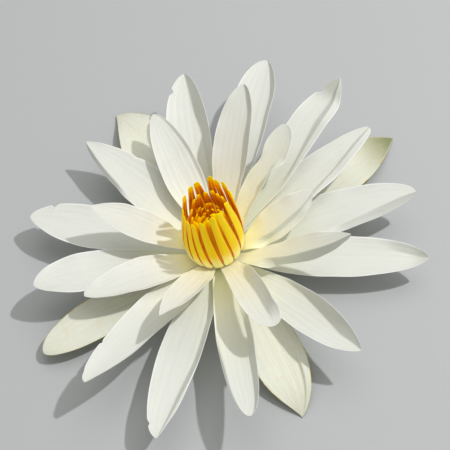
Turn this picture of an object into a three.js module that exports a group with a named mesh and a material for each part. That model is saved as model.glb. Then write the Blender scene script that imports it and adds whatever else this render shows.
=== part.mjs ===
// A white day-blooming water lily flower with a yellow heart of stamens, picked with a short stub of its
// stalk and resting on a flat surface. Millimetres, +Z up along the flower's own axis. Headings are degrees
// counterclockwise from +X, seen from above; "left" and "right" are seen from the flower's axis, looking
// outwards along a petal.
import * as THREE from "three";

// --- Driving dimensions ---------------------------------------------------------------------------------

const SEAT_GAP = 0.35; // between a piece and what carries it

const LATHE_SIDES = 28;
const STALK_RADIUS = 4.2;
const STALK_TOP = 2.2; // where the stub starts to flare
const FLARE = { radius: 5.6, height: 3.1 };
const RECEPTACLE_EDGE = 4.0;
const RECEPTACLE_TOP = 4.6;
const RECEPTACLE_RADIUS = 8.5;

const OVARY_BOTTOM = RECEPTACLE_TOP + SEAT_GAP;
// Radius and height of the ovary's side, where the petals are fixed.
const OVARY_SIDE = [[8.4, OVARY_BOTTOM], [8.55, 10], [8.8, 11.4], [8.8, 13.3]];
const OVARY_RIM_HEIGHT = 15.4;
const OVARY_RIM_RADIUS = 10.7;
const OVARY_RIM_THICKNESS = 0.5;
const STIGMA = { radius: 6.0, depth: 1.6, boss: 1.2, bossHeight: 0.7 }; // a dish with a boss in its middle

const SEPAL = { steps: 12, thick: 1.3, thin: 0.7, root: 8.9, height: 5.0, tipHeight: 0.05 };
const PETAL = { steps: 12, thick: 0.9, thin: 0.5 };
const ACROSS = 12; // facets across a sepal or petal
const ROW_CROWDING = 1.5; // above 1, the rows of facets stand closer together towards the tip
const RIM_THINNING = 0.4; // a blade's edge is this much thinner than its middle
const FOLD_WIDTH = 0.1; // how wide the bend of a fold is, as a share of the half-width
const FOLD_START = 0.2; // the share of the length over which a fold comes in
const FOLD_END = 0.15; // and over which it flattens out again, where it ends
const CUP_FULL = 0.4; // the share of the length at which a blade's cup is full, from half at its root
const SWELL_POWER = 1.3; // above 1, a blade stays narrow for longer before it swells
const CURL_REACH = 0.1; // the share of the length over which a tip's curl comes in
const SECTION_STEPS = 24;

const STAMEN = { bottom: 15.8, thick: 1.3, thin: 0.8, sides: 6, steps: 8, gap: 0.3, tipShare: 0.6 };
// The middle line's radius at h of its height: the root's, and these times h, h squared and h cubed.
const STAMEN_BULGE = [4.9, -12.6, 5.9];
const SLOPE_STEP = 0.01; // the share of the height over which a stamen's slope is measured
const OUTER_STAMEN = { root: 11.4, tipHalf: 1.0 };
const SECOND_STAMEN = { root: 9.2, tipHalf: 0.75, lower: 4, lean: -0.2 };
// Heading at the root, heading at the tip, height of the tip and how far the tip leans out.
const OUTER_STAMENS = [
  [-22, -26, 51.5, -1.6], [-43, -69, 53.5, -0.2], [-67, -85, 53.5, 0.5], [-90, -112, 49, 0.2],
  [-109, -136, 45, 0.1], [-128, -153, 44, 0.2], [-152, -168, 44, 0.3], [-179, -183, 45, 0.2],
  [-212, -213, 46.5, 0.5], [-245, -236, 48.5, 0.2], [-269, -252, 49.5, 0], [-290, -287, 51.5, 0.3],
  [-309, -301, 50.5, -0.2], [-330, -319, 50.5, 0.3], [-353, -343, 49, 0.2],
];
const FULL_TURN = 360;

// The inner stamens: radius and height of their outline from the foot to the middle of the dish.
const CROWN_OUTLINE = [[7.2, 15.8], [7.9, 20], [7.8, 28], [7.1, 34.5], [6, 40], [3, 38]];
const CROWN = { dishHeight: 35.5, lobes: 12, lobeDepth: 0.06 }; // lobeDepth is a share of the radius
const SIDES_PER_LOBE = 4;

// Each blade: heading at its root and how far it bends towards its tip, length, half-widths, how steeply it
// lifts at its root and at its tip, height and radius of its root, how far each side curls up (cup), where
// it is widest, and how pointed each side of its tip is (0.5 is round, 1 and more is sharp). A sepal gives
// only the lift at its root, and rise is how high its tip stays above the surface that the flower rests on.
// folds and waists are lists for the left side and for the right side. A fold: where along the blade it
// starts, its place across there, another place along, its place across there, how far it turns up, and
// where it ends (2 is never). A waist: where it is narrowed, by what share, and how far that reaches. curl
// is where a tip starts to turn up, and how far.
const SEPALS = [
  { heading: 26.5, bend: 3, length: 86, left: 12, right: 12.5, lift: 6, cup: [15, 15], widest: 0.6,
    tip: [0.85, 1.1] },
  { heading: 106, bend: 15, length: 80.5, left: 14.5, right: 15.5, lift: 14, cup: [22, 2], widest: 0.46,
    tip: [1.2, 0.65] },
  { heading: 204, bend: -4, length: 73.5, left: 8, right: 10, lift: 8, cup: [15, 15], widest: 0.66,
    tip: [0.55, 0.55], rise: 5.5 },
  { heading: 288.5, bend: -5, length: 71.5, left: 12.5, right: 9.5, lift: 12, cup: [15, 15], widest: 0.66,
    tip: [0.85, 1.3], folds: [[[0.3, 0.68, 1, 0.62, 55, 2], [0.3, 0.78, 1, 0.74, -75, 2]], []] },
];

const OUTER_PETALS = [
  { heading: 67, bend: -2.5, length: 80, left: 9.5, right: 11.5, lift: [16, 10], height: 6.3,
    cup: [18, 20], widest: 0.74, tip: [0.57, 0.7], folds: [[], [[0.2, 0.62, 1, 0.5, 50, 2]]] },
  { heading: 158.5, bend: 2.5, length: 71, left: 10.5, right: 9.5, lift: [11, 5], height: 6, cup: [20, 15],
    widest: 0.65, tip: [0.75, 0.6] },
  { heading: 251, bend: -8.5, length: 81, left: 9.9, right: 11.5, lift: [12, 6], height: 6, cup: [20, 20],
    widest: 0.52, tip: [0.85, 0.5],
    folds: [[[0.05, 0.5, 1, 0.12, 49, 2], [0.5, 0.97, 1, 0.8, -60, 2]], []], claw: 0.45 },
  { heading: 341, bend: 6, length: 79.5, left: 11, right: 8.5, lift: [8, 3], height: 5.8, cup: [18, 18],
    curl: [0.88, 28], widest: 0.46, tip: [0.42, 0.8], folds: [[[0.7, 0.8, 1, 0.2, 30, 2]], []] },
];

const MIDDLE_PETALS = [
  { heading: 4.5, bend: -4.5, length: 77, left: 10.5, right: 8.9, lift: [14, 8], height: 7, cup: [15, 20],
    widest: 0.44, tip: [0.5, 0.65], folds: [[], [[0.4, 0.95, 1, 0.02, -62, 2]]] },
  { heading: 24, bend: 5, length: 73, left: 8, right: 11, lift: [18, 11], height: 8.5, cup: [15, 15],
    widest: 0.45, tip: [0.65, 0.45], folds: [[], [[0.3, 0.85, 1, 0.02, 46, 2], [0.3, 1, 1, 0.5, -50, 2]]] },
  { heading: 39, bend: 2.8, length: 80.3, left: 9, right: 9.5, lift: [22, 13], height: 9.8, cup: [18, 20],
    curl: [0.83, 36], widest: 0.72, tip: [0.7, 0.8],
    folds: [[], [[0.3, 0.75, 0.75, 0.02, 44, 2], [0.3, 0.95, 1, 0.5, -55, 2]]] },
  { heading: 92.5, bend: -4.5, length: 71.5, left: 10.5, right: 11, lift: [19, 11], height: 8.5,
    cup: [15, 18], widest: 0.64, tip: [0.65, 0.65], folds: [[], [[0.15, 0.6, 1, 0.06, 48, 2]]] },
  { heading: 127.5, bend: 4, length: 66, left: 9, right: 10.5, lift: [15, 8], height: 7, cup: [20, 15],
    widest: 0.46, tip: [0.65, 0.9], folds: [[[0.45, 0.95, 1, 0.45, -75, 2]], []] },
  { heading: 185.5, bend: 2, length: 68, left: 8, right: 10, lift: [15, 9], height: 7.5, cup: [18, 18],
    widest: 0.68, tip: [0.7, 0.6] },
  { heading: 223.5, bend: 1, length: 74.5, left: 9.5, right: 8, lift: [17, 10], height: 8, cup: [20, 20],
    widest: 0.45, tip: [0.85, 0.45], folds: [[[0.25, 0.82, 1, 0.8, 45, 2]], []], claw: 0.45 },
  { heading: 274, bend: -5, length: 77, left: 9, right: 8.5, lift: [18, 11], height: 8.5, cup: [20, 20],
    widest: 0.58, tip: [0.38, 0.42], folds: [[[0.25, 0.5, 1, 0.38, 50, 2]], [[0.4, 0.92, 1, 0.8, -70, 2]]],
    claw: 0.45 },
  { heading: 308, bend: 0, length: 72.5, left: 10, right: 8.5, lift: [17, 9], height: 7, cup: [20, 12],
    widest: 0.68, tip: [0.75, 0.8], folds: [[[0.25, 1, 0.85, 0.05, 48, 2]], []] },
];

const INNER_PETALS = [
  { heading: 39.5, bend: 9, length: 50.2, left: 5.1, right: 8.5, lift: [44, 24], height: 12.2,
    cup: [20, 30], widest: 0.62, tip: [0.5, 0.42], folds: [[], [[0.1, 0.55, 0.6, 0.4, 50, 0.75]]],
    waists: [[[0.67, 0.4, 0.12]], []], claw: 0.35 },
  { heading: 66, bend: 4, length: 60.5, left: 8.5, right: 9.5, lift: [40, 26], height: 11, cup: [15, 20],
    widest: 0.61, tip: [0.7, 0.46], folds: [[], [[0.15, 0.6, 1, 0.48, 50, 2]]] },
  { heading: 104, bend: 2.5, length: 56, left: 8.5, right: 8.5, lift: [25, 4], height: 11.5, cup: [15, 15],
    widest: 0.45, tip: [0.7, 0.6], folds: [[], [[0.15, 0.8, 1, 0.7, 35, 2]]] },
  { heading: 165.5, bend: -6, length: 47.5, left: 7.5, right: 7, lift: [41, 27], height: 11.5,
    cup: [20, 20], widest: 0.54, tip: [0.8, 1] },
  { heading: 201.5, bend: -9, length: 50, left: 8.5, right: 8, lift: [24, 3], height: 11, cup: [20, 20],
    widest: 0.45, tip: [0.65, 0.55], folds: [[[0.15, 0.75, 1, 0.6, 30, 2]], []] },
  { heading: 243.5, bend: -12, length: 48.5, left: 7, right: 5.8, lift: [43, 29], height: 12,
    cup: [20, 20], widest: 0.5, tip: [1.0, 0.8], folds: [[[0.2, 0.6, 1, 0.5, 25, 2]], []], claw: 0.5 },
  { heading: 292, bend: -11, length: 57.5, left: 7, right: 8, lift: [46, 18], height: 12, cup: [15, 20],
    widest: 0.68, tip: [0.42, 0.42], folds: [[[0.15, 0.6, 0.55, 0.02, 48, 0.98]], []], claw: 0.45 },
  { heading: 322.3, bend: 39, length: 57, left: 7.3, right: 6, lift: [33, 29], height: 11, cup: [8, 10],
    widest: 0.6, tip: [0.9, 0.6], folds: [[], [[0.2, 0.1, 1, 0.05, -88, 2]]] },
  { heading: 347, bend: 52, length: 41, left: 9, right: 6, lift: [42, 16], height: 12.3, cup: [15, 5],
    widest: 0.5, tip: [0.6, 0.7],
    folds: [[], [[0.15, 0.15, 1, 0.05, -75, 2], [0.15, 0.7, 1, 0.4, 60, 2]]] },
];
const PETAL_ROOT = 9.0; // radius of the roots of the outer and middle petals
const INNER_PETAL_ROOT = 9.5;
const CLAW = 0.3; // a petal's width at its root, as a share of its greatest width
const NO_CURL = [1, 0];

// --- Materials ------------------------------------------------------------------------------------------

const petalWhite = { color: 0xe4e5dc, roughness: 0.55, metalness: 0 };
const sepalCream = { color: 0xe0e0c8, roughness: 0.55, metalness: 0 };
const stamenYellow = { color: 0xf8d50c, roughness: 0.5, metalness: 0 };
const ovaryGreen = { color: 0xc9c27a, roughness: 0.6, metalness: 0 };
const stalkGreen = { color: 0x8c8f5a, roughness: 0.6, metalness: 0 };

// --- Shared shape code ----------------------------------------------------------------------------------

const group = new THREE.Group();

const radians = THREE.MathUtils.degToRad;
const ramp = (x) => THREE.MathUtils.smoothstep(x, 0, 1);

function addMesh(name, geometry, material) {
  const mesh = new THREE.Mesh(geometry, new THREE.MeshStandardMaterial(material));
  mesh.name = name;
  group.add(mesh);
}

function toGeometry(points, triangles) {
  const geometry = new THREE.BufferGeometry().setFromPoints(points);
  geometry.setIndex(triangles);
  geometry.computeVertexNormals();
  return geometry;
}

// Closes rings of points, all of the same count and running counterclockwise about the way they climb, into
// one solid: side walls, and a fan to a centre point at each end.
function closedFromRings(rings, startPoint, endPoint) {
  const sides = rings[0].length;
  const points = [...rings.flat(), startPoint, endPoint];
  const startIndex = points.length - 2;
  const endIndex = points.length - 1;
  const lastRing = (rings.length - 1) * sides;
  const triangles = [];
  for (let side = 0; side < sides; side += 1) {
    const next = (side + 1) % sides;
    for (let ring = 0; ring < rings.length - 1; ring += 1) {
      const low = ring * sides;
      const high = low + sides;
      triangles.push(low + side, low + next, high + next);
      triangles.push(low + side, high + next, high + side);
    }
    triangles.push(startIndex, next, side);
    triangles.push(endIndex, lastRing + side, lastRing + next);
  }
  return toGeometry(points, triangles);
}

// --- Stalk, receptacle and pistil -----------------------------------------------------------------------

function turned(profile) {
  return new THREE.LatheGeometry(profile.map(([r, z]) => new THREE.Vector2(r, z)), LATHE_SIDES)
    .rotateX(Math.PI / 2);
}

addMesh("cut_stalk", turned([
  [0, 0], [STALK_RADIUS, 0], [STALK_RADIUS, STALK_TOP], [FLARE.radius, FLARE.height],
  [RECEPTACLE_RADIUS, RECEPTACLE_EDGE], [RECEPTACLE_RADIUS, RECEPTACLE_TOP], [0, RECEPTACLE_TOP],
]), stalkGreen);

addMesh("pistil", turned([
  [0, OVARY_BOTTOM], ...OVARY_SIDE,
  [OVARY_RIM_RADIUS, OVARY_RIM_HEIGHT - OVARY_RIM_THICKNESS], [OVARY_RIM_RADIUS, OVARY_RIM_HEIGHT],
  [STIGMA.radius, OVARY_RIM_HEIGHT], [STIGMA.boss, OVARY_RIM_HEIGHT - STIGMA.depth],
  [0, OVARY_RIM_HEIGHT - STIGMA.depth + STIGMA.bossHeight],
]), ovaryGreen);

// --- Sepals and petals ----------------------------------------------------------------------------------

// Half-width at t along the blade: it swells from the claw to its widest place, then closes to the tip.
function halfWidth(t, widest, tipPower, claw) {
  const rising = Math.sin(Math.min(t / widest, 1) * Math.PI / 2) ** SWELL_POWER;
  const closing = 1 - Math.max((t - widest) / (1 - widest), 0) ** 2;
  return (claw + (1 - claw) * rising) * Math.max(closing, 0) ** tipPower;
}

// One side of the cross-section at t along the blade, for a half-width of 1, from the middle line to the
// edge: the surface turns up evenly by the cup angle, and further at each fold.
function crossSection(cup, folds, t) {
  const cupNow = radians(cup) * (0.5 + 0.5 * Math.min(t / CUP_FULL, 1));
  const foldsNow = folds.map(([begins, first, far, second, degrees, ends]) => ({
    place: first + (second - first) * THREE.MathUtils.clamp((t - begins) / (far - begins), 0, 1),
    turn: radians(degrees) * ramp((t - begins) / FOLD_START) * ramp((ends - t) / FOLD_END),
  }));
  const turnAt = (u) => foldsNow.reduce(
    (sum, fold) => sum + fold.turn * ramp((u - fold.place) / FOLD_WIDTH + 0.5), cupNow * u);
  const section = [{ out: 0, up: 0, turn: turnAt(0) }];
  for (let step = 1; step <= SECTION_STEPS; step += 1) {
    const middle = turnAt((step - 0.5) / SECTION_STEPS);
    const last = section[step - 1];
    section.push({
      out: last.out + Math.cos(middle) / SECTION_STEPS,
      up: last.up + Math.sin(middle) / SECTION_STEPS,
      turn: turnAt(step / SECTION_STEPS),
    });
  }
  return section;
}

// A closed thin solid about a curved middle line. The middle line leaves the root at its heading and lift,
// and both change evenly along the blade, until a curled tip turns up further.
function bladeGeometry(blade, kind) {
  const { heading, bend, length, left, right, lift, height, root, cup, widest, tip } = blade;
  const { claw = CLAW, folds = [[], []], waists = [[], []], curl: [curlStart, curl] = NO_CURL } = blade;
  const half = ACROSS / 2;
  const upper = [];
  const lower = [];
  const middle = new THREE.Vector3(
    root * Math.cos(radians(heading)), root * Math.sin(radians(heading)), height);
  const direction = (t) => {
    const turn = radians(heading + bend * t);
    const curlNow = curl * ramp((t - curlStart) / CURL_REACH);
    const climb = radians(lift[0] + (lift[1] - lift[0]) * t + curlNow);
    return new THREE.Vector3(
      Math.cos(climb) * Math.cos(turn), Math.cos(climb) * Math.sin(turn), Math.sin(climb));
  };
  const place = (row) => 1 - (1 - row / kind.steps) ** ROW_CROWDING;
  for (let row = 0; row < kind.steps; row += 1) {
    const t = place(row);
    const nextT = place(row + 1);
    const along = direction(t);
    const turn = radians(heading + bend * t);
    const sideways = new THREE.Vector3(-Math.sin(turn), Math.cos(turn), 0);
    const facing = new THREE.Vector3().crossVectors(along, sideways);
    const sections = [0, 1].map((side) => crossSection(cup[side], folds[side], t));
    const widths = [left, right].map((half, side) => waists[side].reduce(
      (width, [where, depth, reach]) => width * (1 - depth * Math.exp(-(((t - where) / reach) ** 2))),
      half * halfWidth(t, widest, tip[side], claw)));
    for (let column = -half; column <= half; column += 1) {
      const isLeft = column >= 0;
      const side = isLeft ? 0 : 1;
      const share = Math.abs(column) / half;
      const width = widths[side];
      const { out, up, turn: angle } = sections[side][Math.round(share * SECTION_STEPS)];
      const sign = isLeft ? 1 : -1;
      const point = middle.clone()
        .addScaledVector(sideways, sign * out * width)
        .addScaledVector(facing, up * width);
      const normal = facing.clone().multiplyScalar(Math.cos(angle))
        .addScaledVector(sideways, -sign * Math.sin(angle));
      const thickness = (kind.thick + (kind.thin - kind.thick) * t) * (1 - RIM_THINNING * share * share);
      upper.push(point.clone().addScaledVector(normal, thickness / 2));
      lower.push(point.clone().addScaledVector(normal, -thickness / 2));
    }
    middle.addScaledVector(direction((t + nextT) / 2), length * (nextT - t));
  }
  return closeBlade(upper, lower, middle, kind.steps);
}

// Joins the upper and lower faces of a blade along both edges, across its root and to its tip point.
function closeBlade(upper, lower, tipPoint, rows) {
  const columns = ACROSS + 1;
  const under = upper.length;
  const tipIndex = under + lower.length;
  const triangles = [];
  const quad = (a, b, c, d) => triangles.push(a, b, c, a, c, d);
  for (let row = 0; row < rows - 1; row += 1) {
    const near = row * columns;
    const far = near + columns;
    for (let column = 0; column < ACROSS; column += 1) {
      const a = near + column;
      const b = far + column;
      quad(a, b, b + 1, a + 1);
      quad(under + a, under + a + 1, under + b + 1, under + b);
    }
    quad(near, under + near, under + far, far);
    quad(near + ACROSS, far + ACROSS, under + far + ACROSS, under + near + ACROSS);
  }
  const last = (rows - 1) * columns;
  for (let column = 0; column < ACROSS; column += 1) {
    quad(column, column + 1, under + column + 1, under + column);
    triangles.push(last + column, tipIndex, last + column + 1);
    triangles.push(under + last + column, under + last + column + 1, tipIndex);
  }
  triangles.push(last, under + last, tipIndex);
  triangles.push(last + ACROSS, tipIndex, under + last + ACROSS);
  return toGeometry([...upper, ...lower, tipPoint], triangles);
}

// A sepal arches up from its root and comes down to the surface, or to its rise above it.
SEPALS.forEach((sepal, index) => {
  const drop = SEPAL.height - SEPAL.tipHeight - (sepal.rise ?? 0);
  const tipLift = THREE.MathUtils.radToDeg(-2 * drop / sepal.length) - sepal.lift;
  const lift = [sepal.lift, tipLift];
  const blade = { ...sepal, lift, height: SEPAL.height, root: SEPAL.root };
  addMesh(`sepal_${index + 1}`, bladeGeometry(blade, SEPAL), sepalCream);
});

OUTER_PETALS.forEach((petal, index) => {
  addMesh(`outer_petal_${index + 1}`, bladeGeometry({ ...petal, root: PETAL_ROOT }, PETAL), petalWhite);
});

MIDDLE_PETALS.forEach((petal, index) => {
  addMesh(`middle_petal_${index + 1}`, bladeGeometry({ ...petal, root: PETAL_ROOT }, PETAL), petalWhite);
});

INNER_PETALS.forEach((petal, index) => {
  addMesh(`inner_petal_${index + 1}`, bladeGeometry({ ...petal, root: INNER_PETAL_ROOT }, PETAL), petalWhite);
});

// --- Stamens --------------------------------------------------------------------------------------------

// A flat strap with an oval section and a rounded tip. left and right are the half-widths, at the root's
// radius, that would fill the strap's share of the ring at its root and at its tip. The strap fills its
// share low down, and comes in from that as h squared to the half-width of its tip.
function stamenGeometry({ heading, tipHeading, top, lean, root, tipHalf, left, right }) {
  const [linear, squared, cubed] = STAMEN_BULGE;
  const radiusAt = (h) => root + linear * h + (squared + lean) * h ** 2 + cubed * h ** 3;
  const centreAt = (h) => {
    const radius = radiusAt(h);
    const turn = radians(heading + (tipHeading - heading) * h);
    return new THREE.Vector3(
      radius * Math.cos(turn), radius * Math.sin(turn), STAMEN.bottom + (top - STAMEN.bottom) * h);
  };
  const rings = [];
  for (let step = 0; step <= STAMEN.steps; step += 1) {
    const h = step / STAMEN.steps;
    const centre = centreAt(h);
    const turn = radians(heading + (tipHeading - heading) * h);
    const sideways = new THREE.Vector3(-Math.sin(turn), Math.cos(turn), 0);
    const upwards = centreAt(h + SLOPE_STEP).sub(centreAt(h - SLOPE_STEP))
      .projectOnPlane(sideways).normalize();
    const outwards = new THREE.Vector3().crossVectors(sideways, upwards);
    const end = step === STAMEN.steps ? STAMEN.tipShare : 1;
    const ring = [];
    for (let side = 0; side < STAMEN.sides; side += 1) {
      const angle = side / STAMEN.sides * 2 * Math.PI;
      const fill = THREE.MathUtils.lerp(...(Math.sin(angle) > 0 ? left : right), h) * radiusAt(h) / root;
      const half = Math.min(fill, THREE.MathUtils.lerp(fill, tipHalf, h ** 2));
      const thickness = STAMEN.thick + (STAMEN.thin - STAMEN.thick) * h;
      ring.push(centre.clone()
        .addScaledVector(outwards, Math.cos(angle) * thickness / 2 * end)
        .addScaledVector(sideways, Math.sin(angle) * half * end));
    }
    rings.push(ring);
  }
  return closedFromRings(rings, centreAt(0), centreAt(1).add(new THREE.Vector3(0, 0, STAMEN.thin / 2)));
}

// A stamen's share of the ring goes half the way to the neighbour on either side, at its root and its tip.
function addStamenRow(name, kind, row) {
  row.forEach(([heading, tipHeading, top, lean], index) => {
    const before = row[index - 1] ?? row[row.length - 1].map((value) => value + FULL_TURN);
    const after = row[index + 1] ?? row[0].map((value) => value - FULL_TURN);
    const share = (degrees) => radians(degrees) / 2 * kind.root - STAMEN.gap / 2;
    const stamen = { ...kind, heading, tipHeading, top, lean };
    stamen.left = [share(before[0] - heading), share(before[1] - tipHeading)];
    stamen.right = [share(heading - after[0]), share(tipHeading - after[1])];
    addMesh(`${name}_${index + 1}`, stamenGeometry(stamen), stamenYellow);
  });
}

addStamenRow("outer_stamen", OUTER_STAMEN, OUTER_STAMENS);

// The second row stands in the gaps of the outer one.
addStamenRow("second_stamen", SECOND_STAMEN, OUTER_STAMENS.map(([heading, tipHeading, top], index) => {
  const [nextHeading, nextTipHeading, nextTop] = OUTER_STAMENS[index + 1]
    ?? OUTER_STAMENS[0].map((value, place) => (place < 2 ? value - FULL_TURN : value));
  return [(heading + nextHeading) / 2, (tipHeading + nextTipHeading) / 2,
    (top + nextTop) / 2 - SECOND_STAMEN.lower, SECOND_STAMEN.lean];
}));

// The many short inner stamens stand packed together about the stigma, as one fluted crown.
function crownGeometry() {
  const sides = CROWN.lobes * SIDES_PER_LOBE;
  const rings = CROWN_OUTLINE.map(([outline, z]) => {
    const ring = [];
    for (let side = 0; side < sides; side += 1) {
      const angle = side / sides * 2 * Math.PI;
      const radius = outline * (1 - CROWN.lobeDepth / 2 * (1 + Math.cos(angle * CROWN.lobes)));
      ring.push(new THREE.Vector3(radius * Math.cos(angle), radius * Math.sin(angle), z));
    }
    return ring;
  });
  const foot = new THREE.Vector3(0, 0, CROWN_OUTLINE[0][1]);
  return closedFromRings(rings, foot, new THREE.Vector3(0, 0, CROWN.dishHeight));
}

addMesh("inner_stamens", crownGeometry(), stamenYellow);

// The origin is below the middle of the whole flower, on the surface that it rests on.
group.updateMatrixWorld(true);
const box = new THREE.Box3().setFromObject(group, true);
const middle = box.getCenter(new THREE.Vector3());
group.position.set(-middle.x, -middle.y, -box.min.z);

export default group;
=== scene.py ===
import bpy
import numpy as np
from mathutils import Matrix, Vector


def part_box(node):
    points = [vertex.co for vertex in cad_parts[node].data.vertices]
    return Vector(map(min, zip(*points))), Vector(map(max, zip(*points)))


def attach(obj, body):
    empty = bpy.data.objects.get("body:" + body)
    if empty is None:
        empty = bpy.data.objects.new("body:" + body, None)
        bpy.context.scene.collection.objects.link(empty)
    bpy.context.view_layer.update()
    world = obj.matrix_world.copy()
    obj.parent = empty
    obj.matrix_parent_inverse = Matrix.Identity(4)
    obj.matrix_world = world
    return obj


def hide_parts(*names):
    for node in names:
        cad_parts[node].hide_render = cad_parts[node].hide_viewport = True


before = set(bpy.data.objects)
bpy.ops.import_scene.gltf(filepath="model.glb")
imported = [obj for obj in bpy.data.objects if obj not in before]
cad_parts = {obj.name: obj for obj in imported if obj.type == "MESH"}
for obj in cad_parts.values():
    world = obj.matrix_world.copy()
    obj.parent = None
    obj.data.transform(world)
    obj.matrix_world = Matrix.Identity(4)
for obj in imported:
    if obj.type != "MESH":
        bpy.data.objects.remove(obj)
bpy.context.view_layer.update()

# A white day-blooming water lily with a yellow heart of stamens, cut with a short stub of its stalk and
# resting on a flat surface. Shapes are worked out in millimetres about the flower's own upright axis, and
# closed_mesh puts them in the frame in metres. Headings are degrees counterclockwise from +X, seen from
# above; "left" and "right" are seen from the flower's axis, looking outwards.

# --- Cut stalk ------------------------------------------------------------------------------------------
# The stub of the flower stalk, cut square, with the receptacle that it widens into: one green spongy piece,
# ribbed lengthwise. Four wide air canals and a ring of narrow ones open in the cut end.

METRES = 0.001
stalk_low, stalk_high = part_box("cut_stalk")
AXIS = np.array([(stalk_low.x + stalk_high.x) / 2, (stalk_low.y + stalk_high.y) / 2, stalk_low.z])
STALK_PROFILE = [[0.1, 0], [4.15, 0], [4.15, 2.2], [5.6, 3.1], [8.4, 4.0], [8.4, 4.55], [0.1, 4.55]]
STALK_ROUNDING = 0.25
STALK_ROWS = 150
STALK_SIDES = 96
CUT_EDGE = 3.9  # radius inside which the cut end is flat
CUT_FADE = 0.3  # over which the cut end turns into the side, outwards and upwards
STALK_RIBS = 9
RIB_HEIGHT = 0.1
RIB_START = 0.6  # height at which the ribs are full
RIB_TOP = 4.4  # height at which they have faded out
RIB_FADE = 1.5
CANAL_DEPTH = 1.6
CANAL_EDGE = 0.2  # over which a canal's edge slopes in
WIDE_CANALS = {"count": 4, "place": 1.9, "radius": 0.8}
NARROW_CANALS = {"count": 11, "place": 3.3, "radius": 0.28}
STREAKS_ROUND = 4  # how far across the streaks' pattern a turned piece swings, to either side
PIECE_STEP = 3.7  # how far apart in that pattern two pieces with neighbouring numbers lie
SKIN_GREEN = (0.17, 0.2, 0.06)
SKIN_OLIVE = (0.36, 0.33, 0.13)
SKIN_BROWN = (0.24, 0.13, 0.06)
FLESH_PALE = (0.66, 0.66, 0.42)
# Painted shade: the canals' mouths are coloured dark, standing in for the shade down the deep holes.
CANAL_PAINTED_SHADE = (0.2, 0.19, 0.08)


def closed_mesh(name, rings, start, end, marks):
    """A closed piece from rings of points, which run counterclockwise about the way they climb.

    Each quad joins two neighbours on a ring to the same two on the next ring. A fan joins the first ring
    to the start point, and another the last ring to the end point. marks are numbers kept on the points.
    """
    count, sides = rings.shape[:2]
    points = np.concatenate([rings.reshape(-1, 3), [start], [end]]) * METRES + AXIS
    here = np.arange(count * sides).reshape(count, sides)
    beside = np.roll(here, -1, axis=1)
    quads = np.stack([here[:-1], beside[:-1], beside[1:], here[1:]], axis=-1).reshape(-1, 4)
    first_fan = np.stack([np.full(sides, here.size), beside[0], here[0]], axis=-1)
    last_fan = np.stack([np.full(sides, here.size + 1), here[-1], beside[-1]], axis=-1)
    mesh = bpy.data.meshes.new(name)
    mesh.from_pydata(points.tolist(), [], [*quads.tolist(), *first_fan.tolist(), *last_fan.tolist()])
    mesh.shade_smooth()
    for label, values in marks.items():
        whole = np.concatenate([values.ravel(), [values[0].mean(), values[-1].mean()]])
        mark = mesh.attributes.new(label, "FLOAT", "POINT")
        mark.data.foreach_set("value", whole.astype(np.float32))
    piece = bpy.data.objects.new(name, mesh)
    bpy.context.scene.collection.objects.link(piece)
    return piece


def ramp(value):
    """0 below 0 and 1 above 1, with a smooth S between them: 3 times the square less 2 times the cube."""
    value = np.clip(value, 0, 1)
    return value * value * (3 - 2 * value)


def rounded_profile(corners, count, rounding):
    """count points spread evenly along the lines between the corners. Each is the mean of the line within
    the rounding length of it, so that the corners come out round."""
    corners = np.array(corners, float)
    distance = np.concatenate([[0], np.cumsum(np.linalg.norm(np.diff(corners, axis=0), axis=1))])
    place = np.linspace(0, distance[-1], count)[:, None] + np.linspace(-rounding, rounding, 9)
    place = np.clip(place, 0, distance[-1])
    return np.stack([np.interp(place, distance, corners[:, axis]).mean(axis=1) for axis in (0, 1)], axis=1)


def turned_points(radius, angle, height):
    """Points about the axis, at (radius cos angle, radius sin angle, height)."""
    radius, angle, height = np.broadcast_arrays(radius, angle, height)
    return np.stack([radius * np.cos(angle), radius * np.sin(angle), height], axis=-1)


def canal_mask(radius, angle, canals):
    """1 inside any of a ring of round canals and 0 outside, from the distance to the nearest one's centre."""
    step = 2 * np.pi / canals["count"]
    turn = (angle + step / 2) % step - step / 2
    away = np.hypot(radius * np.cos(turn) - canals["place"], radius * np.sin(turn))
    return ramp((canals["radius"] - away) / CANAL_EDGE)


def feed(tree, socket, value):
    """Links another node's socket to this one, or gives it a number, or a colour of three numbers."""
    if isinstance(value, bpy.types.NodeSocket):
        tree.links.new(value, socket)
    elif isinstance(value, tuple):
        socket.default_value = (*value, 1)
    else:
        socket.default_value = value


def add_node(tree, kind, **inputs):
    """A shader node of that kind, with its named inputs fed."""
    node = tree.nodes.new("ShaderNode" + kind)
    for label, value in inputs.items():
        feed(tree, node.inputs[label.replace("_", " ")], value)
    return node


def maths(tree, operation, *values):
    """The result socket of a Math node on up to three values or sockets."""
    node = tree.nodes.new("ShaderNodeMath")
    node.operation = operation
    for socket, value in zip(node.inputs, values):
        feed(tree, socket, value)
    return node.outputs[0]


def mark_socket(tree, label):
    """The value of a number kept on the mesh's points."""
    node = tree.nodes.new("ShaderNodeAttribute")
    node.attribute_name = label
    return node.outputs["Fac"]


def between(tree, value, low, high):
    """0 where the value is at low and 1 where it is at high, with a smooth S between them."""
    node = add_node(tree, "MapRange", Value=value, From_Min=low, From_Max=high)
    node.interpolation_type = "SMOOTHSTEP"
    return node.outputs["Result"]


def mixed_colour(tree, share, first, second):
    """The first colour where the share is 0 and the second where it is 1."""
    node = tree.nodes.new("ShaderNodeMix")
    node.data_type = "RGBA"
    factor, first_socket, second_socket = node.inputs[0], node.inputs[6], node.inputs[7]
    feed(tree, factor, share)
    feed(tree, first_socket, first)
    feed(tree, second_socket, second)
    return node.outputs[2]


def new_material(name, roughness):
    """A material with one Principled shader, and its tree and shader to work on."""
    material = bpy.data.materials.new(name)
    material.use_nodes = True
    shader = material.node_tree.nodes["Principled BSDF"]
    shader.inputs["Roughness"].default_value = roughness
    return material, material.node_tree, shader


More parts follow.
